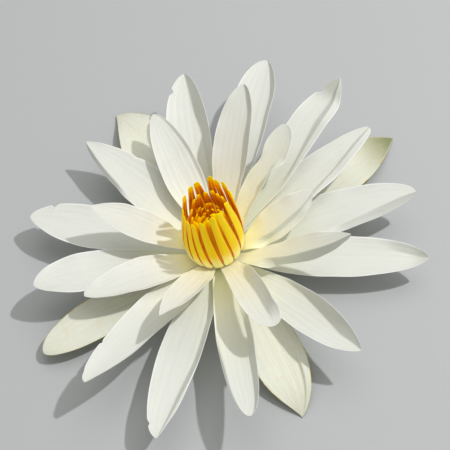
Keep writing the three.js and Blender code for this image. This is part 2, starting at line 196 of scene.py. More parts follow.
def new_group(name, inputs, outputs):
    """An empty node group whose named inputs and outputs are numbers, with the nodes for both."""
    tree = bpy.data.node_groups.new(name, "ShaderNodeTree")
    for label in inputs:
        tree.interface.new_socket(label, in_out="INPUT", socket_type="NodeSocketFloat")
    for label in outputs:
        tree.interface.new_socket(label, in_out="OUTPUT", socket_type="NodeSocketFloat")
    return tree, tree.nodes.new("NodeGroupInput"), tree.nodes.new("NodeGroupOutput")


def add_group(tree, group, **values):
    """The outputs of a node that places a group in this tree, with its own values."""
    node = tree.nodes.new("ShaderNodeGroup")
    node.node_tree = group
    for label, value in values.items():
        feed(tree, node.inputs[label], value)
    return node.outputs


def make_streaks_group():
    """Streaks that run along a piece: a Noise read at (across x Count, along x Run, number x a wide step),
    so that it changes quickly across the piece, slowly along it, and from piece to piece. Broad is the
    coarse streaks and Fine the veins."""
    tree, given, result = new_group("lengthwise streaks", ["Count", "Run"], ["Broad", "Fine"])
    across = maths(tree, "MULTIPLY", mark_socket(tree, "across"), given.outputs["Count"])
    along = maths(tree, "MULTIPLY", mark_socket(tree, "along"), given.outputs["Run"])
    number = maths(tree, "MULTIPLY", mark_socket(tree, "number"), PIECE_STEP)
    place = add_node(tree, "CombineXYZ", X=across, Y=along, Z=number)
    broad = add_node(tree, "TexNoise", Vector=place.outputs[0], Scale=1.0, Detail=1.0)
    fine = add_node(tree, "TexNoise", Vector=place.outputs[0], Scale=4.0, Detail=2.0, Roughness=0.6)
    tree.links.new(broad.outputs["Fac"], result.inputs["Broad"])
    tree.links.new(fine.outputs["Fac"], result.inputs["Fine"])
    return tree


def add_streaks(tree, count, run):
    """The streaks group with its own count and run, as (broad, fine) sockets."""
    outputs = add_group(tree, streaks_group, Count=count, Run=run)
    return outputs["Broad"], outputs["Fine"]


def add_bump(tree, shader, height, distance):
    """Feeds a height, in the distance's metres, to the shader's normal."""
    bump = add_node(tree, "Bump", Height=height, Distance=distance, Strength=1.0)
    tree.links.new(bump.outputs["Normal"], shader.inputs["Normal"])


streaks_group = make_streaks_group()

profile = rounded_profile(STALK_PROFILE, STALK_ROWS, STALK_ROUNDING)
angle = np.linspace(0, 2 * np.pi, STALK_SIDES, endpoint=False)[None, :]
radius, height = profile[:, :1], profile[:, 1:]
on_cut = 1 - ramp((radius - CUT_EDGE) / CUT_FADE + height / CUT_FADE)
ribbed = ramp(height / RIB_START) * ramp((RIB_TOP - height) / RIB_FADE)
ribs = RIB_HEIGHT * np.cos(STALK_RIBS * angle) * ribbed
canals = np.maximum(canal_mask(radius, angle, WIDE_CANALS), canal_mask(radius, angle, NARROW_CANALS))
rings = turned_points(radius + ribs, angle, height + CANAL_DEPTH * canals * on_cut)
stalk_marks = {"cut": on_cut + 0 * angle, "canal": canals * on_cut,
               "across": np.sin(angle) * STREAKS_ROUND + 0 * radius, "along": height / 4 + 0 * angle,
               "number": 0 * rings[..., 0]}
stalk = closed_mesh("cut_stalk_stub", rings, [0, 0, 0], [0, 0, STALK_PROFILE[-1][1]], stalk_marks)

material, tree, shader = new_material("stalk green", 0.6)
broad, fine = add_streaks(tree, 5.0, 1.5)
skin = mixed_colour(tree, broad, SKIN_GREEN, SKIN_OLIVE)
skin = mixed_colour(tree, between(tree, fine, 0.55, 0.75), skin, SKIN_BROWN)
# Painted shade in the canals' mouths, which are only shallow dips.
flesh = mixed_colour(tree, mark_socket(tree, "canal"), FLESH_PALE, CANAL_PAINTED_SHADE)
colour = mixed_colour(tree, mark_socket(tree, "cut"), skin, flesh)
tree.links.new(colour, shader.inputs["Base Color"])
add_bump(tree, shader, fine, 0.00015)
stalk.data.materials.append(material)
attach(stalk, "root")
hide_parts("cut_stalk")

# --- Pistil ---------------------------------------------------------------------------------------------
# The bowl-shaped ovary, green-yellow and fleshy, grown as one with the dished stigma on top of it, whose
# rays run out to a thin rim. The petals are fixed to its side and the stamens stand on its rim.

PISTIL_PROFILE = [[0.1, 4.95], [8.35, 4.95], [8.5, 10], [8.75, 11.4], [8.75, 13.3], [10.6, 14.9],
                  [10.6, 15.4], [6.0, 15.3], [1.2, 13.8], [0.1, 14.5]]
STIGMA_RAYS = 16
RAY_HEIGHT = 0.22
PISTIL_ROUNDING = 0.3
PISTIL_ROWS = 130
PISTIL_SIDES = 128
PISTIL_FOOT = [0, 0, 4.95]
STIGMA_MIDDLE = [0, 0, 14.2]
STIGMA_LOW = 13.5  # the stigma starts at this height and is full one STIGMA_FADE above it
STIGMA_FADE = 0.8
STIGMA_EDGE = 10.2  # radius at which it ends
RAY_START = 1.0  # radius at which its rays start, and over how far they grow
RAY_FADE = 3.0
OVARY_GREEN = (0.55, 0.52, 0.18)
OVARY_YELLOW = (0.78, 0.7, 0.3)
STIGMA_ORANGE = (0.62, 0.3, 0.02)
STIGMA_YELLOW = (0.85, 0.55, 0.05)

profile = rounded_profile(PISTIL_PROFILE, PISTIL_ROWS, PISTIL_ROUNDING)
angle = np.linspace(0, 2 * np.pi, PISTIL_SIDES, endpoint=False)[None, :]
radius, height = profile[:, :1], profile[:, 1:]
stigma = ramp((height - STIGMA_LOW) / STIGMA_FADE) * ramp(STIGMA_EDGE - radius)
rays = RAY_HEIGHT * np.cos(STIGMA_RAYS * angle) * stigma * ramp((radius - RAY_START) / RAY_FADE)
rings = turned_points(radius, angle, height - RAY_HEIGHT * stigma + rays)
pistil_marks = {"stigma": stigma + 0 * angle, "across": np.sin(angle) * STREAKS_ROUND + 0 * radius,
                "along": height / 10 + 0 * angle, "number": 1 + 0 * rings[..., 0]}
pistil = closed_mesh("pistil_bowl", rings, PISTIL_FOOT, STIGMA_MIDDLE, pistil_marks)

material, tree, shader = new_material("ovary green", 0.55)
broad, fine = add_streaks(tree, 3.0, 1.0)
side = mixed_colour(tree, broad, OVARY_GREEN, OVARY_YELLOW)
top = mixed_colour(tree, broad, STIGMA_ORANGE, STIGMA_YELLOW)
colour = mixed_colour(tree, mark_socket(tree, "stigma"), side, top)
tree.links.new(colour, shader.inputs["Base Color"])
add_bump(tree, shader, fine, 0.0002)
pistil.data.materials.append(material)
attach(pistil, "root")
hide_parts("pistil")

# --- Sepals ---------------------------------------------------------------------------------------------
# Four boat-shaped leaves that closed the bud, thicker than the petals: cream above, green and streaked
# below, with a yellow-green edge and tip. Each is fixed low on the ovary, arches up and comes down to the
# surface, but the third's tip stays 5.5 mm above it.

SEPAL_ROOT = 8.9
SEPAL_HEIGHT = 5.0
SEPAL_TIP_HEIGHT = 0.25
SEPAL_THICK = 1.0
SEPAL_THIN = 0.45
SEPAL_RIPPLE = 0.25  # how far the edges ripple up and down
FIRST_SEPAL_SEED = 40
# Each blade: heading at its root and how far it bends towards its tip, length, half-widths, how steeply it
# lifts at its root and at its tip, height of its root, how far each side curls up (cup), where it is widest,
# and how pointed each side of its tip is (0.5 is round, 1 and more is sharp). claw is its width at the root
# and curl is where its tip starts to turn up, and how far. A sepal gives only the lift at its root, rise is
# how high its tip stays above the surface, and green how green its tip is. folds and notches are lists for
# the left side and for the right side. A fold: where along the blade it starts, its place across there,
# another place along, its place across there, how far it turns up, and where it ends (2 is never). A notch:
# where it is, what share of the width it takes, and how far that reaches.
SEPALS = [
    dict(heading=26.5, bend=3, length=86, left=12, right=12.5, lift=6, cup=(15, 15), widest=0.6,
         tip=(0.85, 1.1), green=0.85),
    dict(heading=106, bend=15, length=80.5, left=14.5, right=15.5, lift=14, cup=(22, 2), widest=0.46,
         tip=(1.2, 0.65), green=0.08),
    dict(heading=204, bend=-4, length=73.5, left=8, right=10, lift=8, cup=(15, 15), widest=0.66,
         tip=(0.55, 0.55), rise=5.5, green=0.05),
    dict(heading=288.5, bend=-5, length=71.5, left=12.5, right=9.5, lift=12, cup=(15, 15), widest=0.66,
         tip=(0.85, 1.3), folds=(((0.3, 0.68, 1, 0.62, 55, 2), (0.3, 0.78, 1, 0.74, -75, 2)), ()),
         green=0.2),
]
BLADE_ROWS = 84
HALF_COLUMNS = 24
LINE_STEPS = 400  # steps along which a blade's middle line is summed
EDGE_CROWDING = 1.15  # above 1, the columns stand closer together towards the edges
CLAW = 0.3  # a blade's width at its root, as a share of its greatest, if it gives none
SWELL_POWER = 1.3  # above 1, a blade stays narrow for longer before it swells
CUP_FULL = 0.4  # the share of the length at which a blade's cup is full, from half at its root
CURL_REACH = 0.1  # the share of the length over which a tip's curl comes in
FOLD_WIDTH = 0.07  # how wide the bend of a fold is, as a share of the half-width
FOLD_START = 0.2  # the share of the length over which a fold comes in
FOLD_END = 0.15  # and over which it flattens out again, where it ends
FOLD_WANDER = 0.025  # how far a fold wanders across, as a share of the half-width
FOLD_WAVES = 2.7  # waves are counted over a blade's whole length
WIDTH_WANDER = 0.012
WIDTH_WAVES = 1.9
LONG_RIPPLES = 2.1
SHORT_RIPPLES = 4.7
FLUTE_HEIGHT = 0.03
FLUTES = 3.4  # on either side of the middle line
FLAT_MIDDLE = 0.15  # the share across, and those along at the root and the tip, over which waves come in
FLAT_ROOT = 0.3
FLAT_TIP = 0.1
RIM_THINNING = 0.55  # a blade's edge is thinner than its middle by this share
GROOVE_DEPTH = 0.16  # of the groove along the middle of the upper face, at its root
GROOVE_WIDTH = 0.9
SEPAL_CREAM = (0.88, 0.87, 0.7)
SEPAL_PALE = (0.91, 0.9, 0.77)
SEPAL_ROOT_YELLOW = (0.85, 0.8, 0.5)
TIP_OLIVE = (0.19, 0.2, 0.03)
BLOTCH_PINK = (0.85, 0.6, 0.4)
MARGIN_YELLOW = (0.82, 0.8, 0.45)
MARGIN_ORANGE = (0.8, 0.5, 0.12)
BACK_GREEN = (0.2, 0.27, 0.07)
BACK_LIGHT_GREEN = (0.42, 0.46, 0.16)
BACK_BROWN = (0.16, 0.09, 0.05)
SEPAL_SPREAD = (1.0, 0.95, 0.6)  # how far red, green and blue light spread inside, as shares of the reach
SEPAL_SPREAD_REACH = 1.5 * METRES


def blade_half_width(way, widest, tip, claw):
    """Half-width at a share of the way along a blade, as a share of the greatest. It swells as a sine to the
    swell power from the claw to the widest place, and then closes as (1 less the square of the share of the
    rest) to the power of the tip."""
    rising = claw + (1 - claw) * np.sin(np.clip(way / widest, 0, 1) * np.pi / 2) ** SWELL_POWER
    closing = 1 - np.clip((way - widest) / (1 - widest), 0, 1) ** 2
    return rising * closing ** tip


def blade_directions(blade, way):
    """The directions along a blade's middle line, across it and up from it, at a share of the way along. Its
    heading and lift change evenly from its root to its tip, and an S adds a curled tip's curl to the lift."""
    curl_start, curl = blade.get("curl", (1, 0))
    turn = np.radians(blade["heading"] + blade["bend"] * way)
    lift = blade["lift"][0] + (blade["lift"][1] - blade["lift"][0]) * way
    climb = np.radians(lift + curl * ramp((way - curl_start) / CURL_REACH))
    along = np.stack([np.cos(climb) * np.cos(turn), np.cos(climb) * np.sin(turn), np.sin(climb)], -1)
    sideways = np.stack([-np.sin(turn), np.cos(turn), 0 * turn], -1)
    return along, sideways, np.cross(along, sideways)


def blade_middle_line(blade, places):
    """Points on a blade's middle line at evenly spaced places: the root and the running sum of the steps,
    each the mean of the directions along at its two ends times its length."""
    along = blade_directions(blade, places)[0]
    steps = (along[1:] + along[:-1]) / 2 * blade["length"] / (len(places) - 1)
    heading = np.radians(blade["heading"])
    root = np.array([blade["root"] * np.cos(heading), blade["root"] * np.sin(heading), blade["height"]])
    return root + np.concatenate([np.zeros((1, 3)), np.cumsum(steps, axis=0)])


def sum_across(values, gaps):
    """The running sum, from 0 at the first column, of the means of neighbouring values times their gaps."""
    sums = np.cumsum((values[:, 1:] + values[:, :-1]) / 2 * gaps, 1)
    return np.concatenate([np.zeros((len(values), 1)), sums], 1)


def blade_turns(blade, side, row, across):
    """How far each point of a blade's side is turned up, in radians: its cup angle times its share across,
    half of that at the root, plus each fold's angle past that fold, by an S. A fold's place moves evenly
    from its first to its second, and wanders a little as a sine."""
    turn = blade["cup"][side] * (0.5 + 0.5 * np.clip(row / CUP_FULL, 0, 1)) * across
    for begins, first, far, second, degrees, ends in blade.get("folds", ((), ()))[side]:
        fold = first + (second - first) * np.clip((row - begins) / (far - begins), 0, 1)
        fold = fold + FOLD_WANDER * np.sin(2 * np.pi * FOLD_WAVES * row + degrees)
        strength = ramp((row - begins) / FOLD_START) * ramp((ends - row) / FOLD_END)
        turn = turn + degrees * strength * ramp((across - fold) / FOLD_WIDTH + 0.5)
    return np.radians(turn)


def blade_side(blade, side, row, across, ripple, waves):
    """Where the points of a blade's side lie, in each row: across from the middle line and up from it, and
    the sine and cosine of their turns.

    Across and up are the running sums of the cosine and sine of the turns, times the half-width. Each notch
    narrows that by a bell curve, and it wanders a little as a sine. The edge ripples up and down as a long
    and a short sine of the way along, and low flutes run lengthwise, as a sine of the share across.
    """
    sign = (1, -1)[side]
    turn = blade_turns(blade, side, row, across)
    gaps = np.diff(across, axis=1)
    out = sum_across(np.cos(turn), gaps)
    up = sum_across(np.sin(turn), gaps)
    width = (blade["left"], blade["right"])[side] * blade_half_width(
        row, blade["widest"], blade["tip"][side], blade.get("claw", CLAW))
    for where, depth, reach in blade.get("notches", ((), ()))[side]:
        width = width * (1 - depth * np.exp(-((row - where) / reach) ** 2))
    width = width * (1 + WIDTH_WANDER * np.sin(2 * np.pi * WIDTH_WAVES * row + waves[0]))
    edge = ripple * np.sin(2 * np.pi * LONG_RIPPLES * row + waves[1])
    edge = edge + 0.5 * ripple * np.sin(2 * np.pi * SHORT_RIPPLES * row + waves[2])
    flute = FLUTE_HEIGHT * np.sin(2 * np.pi * FLUTES * across + waves[3]) * ramp(across / FLAT_MIDDLE)
    lift = (edge * across ** 2 + flute) * ramp(row / FLAT_ROOT) * ramp((1 - row) / FLAT_TIP)
    return sign * out * width, up * width + lift, sign * np.sin(turn), np.cos(turn)


def blade_rings(blade, thick, thin, ripple, seed):
    """Rings about a thin leaf-like blade, one for each row from its root to its tip, and numbers for them.

    A point of the blade's surface is its row's point on the middle line, plus its place times the direction
    across, plus its rise times the direction up. The upper and lower faces lie half the thickness to either
    side of that, with a shallow groove along the middle of the upper one. A ring goes from the left edge
    over the upper face to the right edge and back under the lower face.
    """
    chance = np.random.default_rng(seed)
    way = 1 - (1 - np.linspace(0, 1, BLADE_ROWS + 1)[:-1]) ** 2
    places = np.linspace(0, 1, LINE_STEPS + 1)
    line = blade_middle_line(blade, places)
    middle = np.stack([np.interp(way, places, line[:, axis]) for axis in range(3)], -1)
    _, sideways, facing = blade_directions(blade, way)
    row = way[:, None]
    across = (1 - (1 - np.linspace(0, 1, HALF_COLUMNS + 1)) ** EDGE_CROWDING)[None, :]
    sides = [blade_side(blade, side, row, across, ripple, chance.uniform(0, 2 * np.pi, 4)) for side in (0, 1)]
    # The right side is turned round, so that the columns run from the left edge to the right one.
    place, rise, lean, upright = [
        np.concatenate([left[:, ::-1], right[:, 1:]], axis=1) for left, right in zip(*sides)]
    share = np.concatenate([across[:, ::-1], -across[:, 1:]], axis=1) + 0 * row
    surface = middle[:, None] + place[..., None] * sideways[:, None] + rise[..., None] * facing[:, None]
    normal = upright[..., None] * facing[:, None] - lean[..., None] * sideways[:, None]
    thickness = (thick + (thin - thick) * row) * (1 - RIM_THINNING * share ** 2)
    groove = GROOVE_DEPTH * np.exp(-(place / GROOVE_WIDTH) ** 2) * (1 - row)
    upper = surface + (thickness / 2 - groove)[..., None] * normal
    lower = surface - (thickness / 2)[..., None] * normal
    outwards = lean[..., None] * facing[:, None] + upright[..., None] * sideways[:, None]
    left_rim = surface[:, :1] + outwards[:, :1] * thickness[:, :1, None] / 2
    right_rim = surface[:, -1:] - outwards[:, -1:] * thickness[:, -1:, None] / 2
    rings = np.concatenate([upper, right_rim, lower[:, ::-1], left_rim], axis=1)
    face = np.ones_like(share)
    rim = np.ones_like(row)
    marks = {
        "across": np.concatenate([share, -rim, share[:, ::-1], rim], axis=1),
        "under": np.concatenate([0 * face, 0.5 * rim, face, 0.5 * rim], axis=1),
        "along": row + 0 * rings[..., 0],
        "number": seed + 0 * rings[..., 0],
    }
    return rings, line[0], line[-1], marks


def make_edge_group():
    """A mask of both long edges of a piece: 0 where the share across is Start or less, 1 from End on."""
    tree, given, result = new_group("edge band", ["Start", "End"], ["Band"])
    share = maths(tree, "ABSOLUTE", mark_socket(tree, "across"))
    band = between(tree, share, given.outputs["Start"], given.outputs["End"])
    tree.links.new(band, result.inputs["Band"])
    return tree


edge_group = make_edge_group()

material, tree, shader = new_material("sepal cream", 0.5)
along = mark_socket(tree, "along")
broad, fine = add_streaks(tree, 7.0, 1.6)
cream = mixed_colour(tree, broad, SEPAL_CREAM, SEPAL_PALE)
cream = mixed_colour(tree, between(tree, along, 0.4, 0.0), cream, SEPAL_ROOT_YELLOW)
near_tip = maths(tree, "MULTIPLY", between(tree, along, 0.68, 1.0), mark_socket(tree, "green"))
cream = mixed_colour(tree, near_tip, cream, TIP_OLIVE)
place = add_node(tree, "TexCoord").outputs["Object"]
blotch = add_node(tree, "TexNoise", Vector=place, Scale=160.0, Detail=2.0)
blotches = maths(tree, "MULTIPLY", between(tree, blotch.outputs["Fac"], 0.62, 0.75), 0.25)
cream = mixed_colour(tree, blotches, cream, BLOTCH_PINK)
speckle = add_node(tree, "TexNoise", Vector=place, Scale=500.0, Detail=1.0)
specks = between(tree, speckle.outputs["Fac"], 0.5, 0.6)
margin = mixed_colour(tree, specks, MARGIN_YELLOW, MARGIN_ORANGE)
margin_band = add_group(tree, edge_group, Start=0.965, End=0.99)["Band"]
cream = mixed_colour(tree, margin_band, cream, margin)
green = mixed_colour(tree, broad, BACK_GREEN, BACK_LIGHT_GREEN)
green = mixed_colour(tree, between(tree, fine, 0.56, 0.7), green, BACK_BROWN)
colour = mixed_colour(tree, mark_socket(tree, "under"), cream, green)
tree.links.new(colour, shader.inputs["Base Color"])
shader.inputs["Subsurface Weight"].default_value = 0.3
shader.inputs["Subsurface Radius"].default_value = SEPAL_SPREAD
shader.inputs["Subsurface Scale"].default_value = SEPAL_SPREAD_REACH
add_bump(tree, shader, fine, 0.0002)

for index, sepal in enumerate(SEPALS):
    # A sepal's lift changes evenly, so its mean has to be the drop from root to tip over the length.
    drop = SEPAL_HEIGHT - SEPAL_TIP_HEIGHT - sepal.get("rise", 0)
    tip_lift = np.degrees(-2 * drop / sepal["length"]) - sepal["lift"]
    blade = dict(sepal, root=SEPAL_ROOT, height=SEPAL_HEIGHT, lift=(sepal["lift"], tip_lift))
    seed = FIRST_SEPAL_SEED + index
    rings, root, tip, marks = blade_rings(blade, SEPAL_THICK, SEPAL_THIN, SEPAL_RIPPLE, seed)
    marks["green"] = sepal["green"] + 0 * marks["along"]
    piece = closed_mesh(f"sepal_{index + 1}_blade", rings, root, tip, marks)
    piece.data.materials.append(material)
    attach(piece, "root")
    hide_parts(f"sepal_{index + 1}")

# --- Outer petals ---------------------------------------------------------------------------------------
# Four long low petals, above the sepals: thin, white and satin, with fine veins lengthwise, a faint yellow
# tint towards the root and, on some, a flank folded up. All petals are fixed to the ovary's side.

PETAL_ROOT = 9.0
PETAL_THICK = 0.55
PETAL_THIN = 0.28
PETAL_RIPPLE = 0.3
OUTER_PETALS = [
    dict(heading=67, bend=-2.5, length=80, left=9.5, right=11.5, lift=(16, 10), height=6.3, cup=(18, 20),
         widest=0.74, tip=(0.57, 0.7), folds=((), ((0.2, 0.62, 1, 0.5, 50, 2),))),
    dict(heading=158.5, bend=2.5, length=71, left=10.5, right=9.5, lift=(11, 5), height=6, cup=(20, 15),
         widest=0.65, tip=(0.75, 0.6), notches=((), ((0.87, 0.2, 0.012),))),
    dict(heading=251, bend=-8.5, length=81, left=9.9, right=11.5, lift=(12, 6), height=6, cup=(20, 20),
         widest=0.52, tip=(0.85, 0.5), folds=(((0.05, 0.5, 1, 0.12, 49, 2), (0.5, 0.97, 1, 0.8, -60, 2)), ()),
         notches=((), ((0.94, 0.16, 0.01),)), claw=0.45),
    dict(heading=341, bend=6, length=79.5, left=11, right=8.5, lift=(8, 3), height=5.8, cup=(18, 18),
         curl=(0.88, 28), widest=0.46, tip=(0.42, 0.8), folds=(((0.7, 0.8, 1, 0.2, 30, 2),), ())),
]
PETAL_WHITE = (0.745, 0.75, 0.7)
PETAL_PALE = (0.765, 0.77, 0.725)
VEIN_WHITE = (0.72, 0.725, 0.655)
RIM_HIGHLIGHT_WHITE = (0.93, 0.93, 0.9)
PETAL_CREAM = (0.89, 0.885, 0.64)
ROOT_YELLOW_AND_BOUNCE = (0.9, 0.875, 0.5)
NO_GLOW = (0.0, 0.0, 0.0)
PETAL_SPREAD = (1.0, 0.98, 0.7)
PETAL_SPREAD_REACH = 0.6 * METRES

petal_white, tree, shader = new_material("petal white", 0.48)
broad, fine = add_streaks(tree, 6.0, 1.2)
white = mixed_colour(tree, broad, PETAL_WHITE, PETAL_PALE)
white = mixed_colour(tree, between(tree, fine, 0.48, 0.3), white, VEIN_WHITE)
# Painted highlight: a thin lighter band along both long edges stands in for light catching the thin rim.
edge_band = add_group(tree, edge_group, Start=0.945, End=0.975)["Band"]
white = mixed_colour(tree, edge_band, white, RIM_HIGHLIGHT_WHITE)
cream_share = mark_socket(tree, "cream")
colour = mixed_colour(tree, cream_share, white, PETAL_CREAM)
# Painted warm light: the deepest yellow near the root is partly the petals' own colour and partly bounce from
# the stamens.
colour = mixed_colour(tree, between(tree, cream_share, 0.5, 1.0), colour, ROOT_YELLOW_AND_BOUNCE)
tree.links.new(colour, shader.inputs["Base Color"])
# The glow stands in for light that comes through the tissue near the root.
glow = mixed_colour(tree, cream_share, NO_GLOW, colour)
tree.links.new(glow, shader.inputs["Emission Color"])
shader.inputs["Emission Strength"].default_value = 0.1
shader.inputs["Subsurface Weight"].default_value = 0.15
shader.inputs["Subsurface Radius"].default_value = PETAL_SPREAD
shader.inputs["Subsurface Scale"].default_value = PETAL_SPREAD_REACH
add_bump(tree, shader, fine, 0.00007)


def add_petals(kind, petals, root, cream, first_seed):
    """Builds the petals of one whorl and stands each one for its solid in the frame. Its cream tint is a
    share at the root that falls to nothing, as an S, at its reach along the petal. The tint is partly the
    petal's own cream and partly painted warm light, bounced from the stamens and let through the tissue, and
    it is set stronger on petals that lie in shade beside the stamens. cream gives both for a petal that gives
    none."""
    for index, petal in enumerate(petals):
        blade = dict(petal, root=root)
        rings, start, end, marks = blade_rings(
            blade, PETAL_THICK, PETAL_THIN, PETAL_RIPPLE, first_seed + index)
        share, reach = petal.get("cream", cream)
        marks["cream"] = share * ramp(1 - marks["along"] / reach)
        piece = closed_mesh(f"{kind}_petal_{index + 1}_blade", rings, start, end, marks)
        piece.data.materials.append(petal_white)
        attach(piece, "root")
        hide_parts(f"{kind}_petal_{index + 1}")


add_petals("outer", OUTER_PETALS, PETAL_ROOT, cream=(0.35, 0.5), first_seed=1)

# --- Middle petals --------------------------------------------------------------------------------------
# Nine petals of the same white tissue, a little shorter and set higher on the ovary: they stand in the
# gaps of the outer ones and above them.

MIDDLE_PETALS = [
    dict(heading=4.5, bend=-4.5, length=77, left=10.5, right=8.9, lift=(14, 8), height=7, cup=(15, 20),
         widest=0.44, tip=(0.5, 0.65), folds=((), ((0.4, 0.95, 1, 0.02, -62, 2),))),
    dict(heading=24, bend=5, length=73, left=8, right=11, lift=(18, 11), height=8.5, cup=(15, 15),
         widest=0.45, tip=(0.65, 0.45), folds=((), ((0.3, 0.85, 1, 0.02, 46, 2), (0.3, 1, 1, 0.5, -50, 2)))),
    dict(heading=39, bend=2.8, length=80.3, left=9, right=9.5, lift=(22, 13), height=9.8, cup=(18, 20),
         curl=(0.83, 36), widest=0.72, tip=(0.7, 0.8),
         folds=((), ((0.3, 0.75, 0.75, 0.02, 44, 2), (0.3, 0.95, 1, 0.5, -55, 2))),
         notches=(((0.89, 0.3, 0.014),), ())),
    dict(heading=92.5, bend=-4.5, length=71.5, left=10.5, right=11, lift=(19, 11), height=8.5, cup=(15, 18),
         widest=0.64, tip=(0.65, 0.65), folds=((), ((0.15, 0.6, 1, 0.06, 48, 2),)),
         notches=(((0.89, 0.22, 0.014),), ())),
    dict(heading=127.5, bend=4, length=66, left=9, right=10.5, lift=(15, 8), height=7, cup=(20, 15),
         widest=0.46, tip=(0.65, 0.9), folds=(((0.45, 0.95, 1, 0.45, -75, 2),), ()),
         notches=((), ((0.68, 0.07, 0.02),))),
    dict(heading=185.5, bend=2, length=68, left=8, right=10, lift=(15, 9), height=7.5, cup=(18, 18),
         widest=0.68, tip=(0.7, 0.6)),
    dict(heading=223.5, bend=1, length=74.5, left=9.5, right=8, lift=(17, 10), height=8, cup=(20, 20),
         widest=0.45, tip=(0.85, 0.45), folds=(((0.25, 0.82, 1, 0.8, 45, 2),), ()),
         notches=((), ((0.76, 0.1, 0.01), (0.96, 0.1, 0.02))), claw=0.45),
    dict(heading=274, bend=-5, length=77, left=9, right=8.5, lift=(18, 11), height=8.5, cup=(20, 20),
         widest=0.58, tip=(0.38, 0.42), claw=0.45, cream=(0.8, 0.85),
         folds=(((0.25, 0.5, 1, 0.38, 50, 2),), ((0.4, 0.92, 1, 0.8, -70, 2),))),
    dict(heading=308, bend=0, length=72.5, left=10, right=8.5, lift=(17, 9), height=7, cup=(20, 12),
         widest=0.68, tip=(0.75, 0.8), folds=(((0.25, 1, 0.85, 0.05, 48, 2),), ())),
]
add_petals("middle", MIDDLE_PETALS, PETAL_ROOT, cream=(0.6, 0.6), first_seed=11)

# --- Inner petals ---------------------------------------------------------------------------------------
# Nine shorter, steeper petals, fixed highest on the ovary next to the stamens. They are creamier than the
# rest, partly their own colour and partly painted warm light near the stamens, and some are twisted or
# folded.

INNER_PETAL_ROOT = 9.5
INNER_PETALS = [
    dict(heading=39.5, bend=9, length=50.2, left=5.1, right=8.5, lift=(44, 24), height=12.2, cup=(20, 30),
         widest=0.62, tip=(0.5, 0.42), folds=((), ((0.1, 0.55, 0.6, 0.4, 50, 0.75),)),
         notches=(((0.67, 0.4, 0.12),), ()), claw=0.35, cream=(0.6, 1.2)),
    dict(heading=66, bend=4, length=60.5, left=8.5, right=9.5, lift=(40, 26), height=11, cup=(15, 20),
         widest=0.61, tip=(0.7, 0.46), folds=((), ((0.15, 0.6, 1, 0.48, 50, 2),))),
    dict(heading=104, bend=2.5, length=56, left=8.5, right=8.5, lift=(25, 4), height=11.5, cup=(15, 15),
         widest=0.45, tip=(0.7, 0.6), folds=((), ((0.15, 0.8, 1, 0.7, 35, 2),))),
    dict(heading=165.5, bend=-6, length=47.5, left=7.5, right=7, lift=(41, 27), height=11.5, cup=(20, 20),
         widest=0.54, tip=(0.8, 1), cream=(0.9, 0.5)),
    dict(heading=201.5, bend=-9, length=50, left=8.5, right=8, lift=(24, 3), height=11, cup=(20, 20),
         widest=0.45, tip=(0.65, 0.55), folds=(((0.15, 0.75, 1, 0.6, 30, 2),), ()), cream=(0.9, 0.5)),
    dict(heading=243.5, bend=-12, length=48.5, left=7, right=5.8, lift=(43, 29), height=12, cup=(20, 20),
         widest=0.5, tip=(1.0, 0.8), folds=(((0.2, 0.6, 1, 0.5, 25, 2),), ()), claw=0.5, cream=(0.45, 1.1)),
    dict(heading=292, bend=-11, length=57.5, left=7, right=8, lift=(46, 18), height=12, cup=(15, 20),
         widest=0.68, tip=(0.42, 0.42), folds=(((0.15, 0.6, 0.55, 0.02, 48, 0.98),), ()), claw=0.45,
         cream=(0.55, 1.2)),
    dict(heading=322.3, bend=39, length=57, left=7.3, right=6, lift=(33, 29), height=11, cup=(8, 10),
         widest=0.6, tip=(0.9, 0.6), folds=((), ((0.2, 0.1, 1, 0.05, -88, 2),)), cream=(0.7, 1.1)),
    dict(heading=347, bend=52, length=41, left=9, right=6, lift=(42, 16), height=12.3, cup=(15, 5),
         widest=0.5, tip=(0.6, 0.7), folds=((), ((0.15, 0.15, 1, 0.05, -75, 2), (0.15, 0.7, 1, 0.4, 60, 2))),
         cream=(0.85, 1.1)),
]
add_petals("inner", INNER_PETALS, INNER_PETAL_ROOT, cream=(0.7, 0.5), first_seed=21)

# --- Outer stamens --------------------------------------------------------------------------------------
# Fifteen broad waxy straps side by side, which make the barrel. Each is bright yellow outside, paler at its
# rounded base, and carries two orange anthers lengthwise on its inner face. They stand on the pistil's rim.

STAMEN_ROOT_HEIGHT = 15.8
STAMEN_GAP = 0.25
STAMEN_ROWS = 44
STAMEN_SIDES = 24
# A strap's radius is its root's plus these times its level (the share of its height), its square and cube.
STAMEN_BULGE = (4.9, -12.6, 5.9)
HOOK_POWER = 8
END_LENGTH = 0.05  # the share of the height over which a strap is rounded, at its base and at its tip
BASE_BLUNTNESS = 0.85  # the square of the share of its thickness that is left at the very end
TIP_BLUNTNESS = 0.02
NARROWEST_FOOT = 0.95  # a foot's width, as a share of its full width
OUTER_BOW = 0.62  # how far the outer face is bowed out
INNER_BOW = 0.2
ANTHER_HEIGHT = 0.4
ANTHER_START = 0.3  # where the anthers start and end, as shares of the height, and how far they fade in
ANTHER_END = 0.94
ANTHER_FADE_IN = 0.1
ANTHER_FADE_OUT = 0.05
ANTHER_PLACE = 0.5  # how far each is from the middle, and half its width, as shares of the half-width
ANTHER_HALF = 0.45
POLLEN_SPREAD = 1.6  # above 1, the pollen's colour goes further down an anther's flanks
OCHRE_END = 0.97  # a strap's ochre ends at this share of its height, and fades over OCHRE_FADE below it
OCHRE_FADE = 0.12
DEGREES_A_NUMBER = 20  # straps this far apart have neighbouring numbers in the streaks' pattern
# For a row: radius of the roots, half-width of the tips, how far those hook in, how ochre the straps are, as
# painted shade, and their thickness, where 1 is the bows and the anthers' height as they stand above.
OUTER_STAMEN = dict(root=11.4, tip_half=1.2, hook=0.0, ochre=0.0, thick=1.0)
